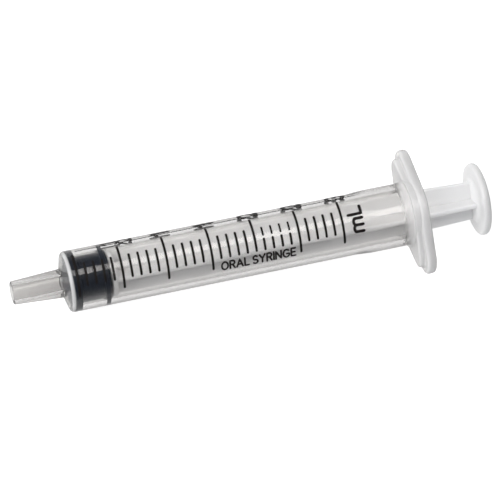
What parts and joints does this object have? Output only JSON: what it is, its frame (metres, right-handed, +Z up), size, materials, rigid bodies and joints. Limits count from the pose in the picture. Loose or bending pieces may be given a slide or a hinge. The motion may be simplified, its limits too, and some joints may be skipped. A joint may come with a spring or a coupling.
{
  "type": "oral syringe",
  "caption": "Needle-free oral dosing syringe: clear graduated barrel with tapered nozzle and winged finger flange, sliding rubber seal and ribbed plunger rod with a round thumb rest.",
  "frame": {"origin": "bottom centre of the whole syringe's box, lying on the narrow edge of its finger flange with the plunger pushed fully in", "axes": "+X along the barrel from the nozzle towards the thumb rest, +Y along a wing of the finger flange, +Z up through the printed side"},
  "size_m": [0.0856, 0.023, 0.0134],
  "materials": {
    "clear_plastic": "clear, slightly milky moulded polypropylene, glossy",
    "black_rubber": "smooth black elastomer with a thin film of lubricant",
    "milky_plastic": "natural translucent polypropylene, satin",
    "scale_ink": "black printed ink"
  },
  "bodies": {
    "barrel": {"barrel": "clear_plastic"},
    "seal": {"piston_seal": "black_rubber"},
    "plunger": {"plunger_rod": "milky_plastic"}
  },
  "joints": [
    {"name": "plunger_slide", "type": "slide", "parent": "barrel", "child": "seal", "axis": [1, 0, 0], "range_m": [0, 0.0528]},
    {"name": "plunger_spin", "type": "hinge", "parent": "seal", "child": "plunger", "pos_m": [-0.03, 0, 0.0067], "axis": [1, 0, 0], "continuous": true}
  ]
}
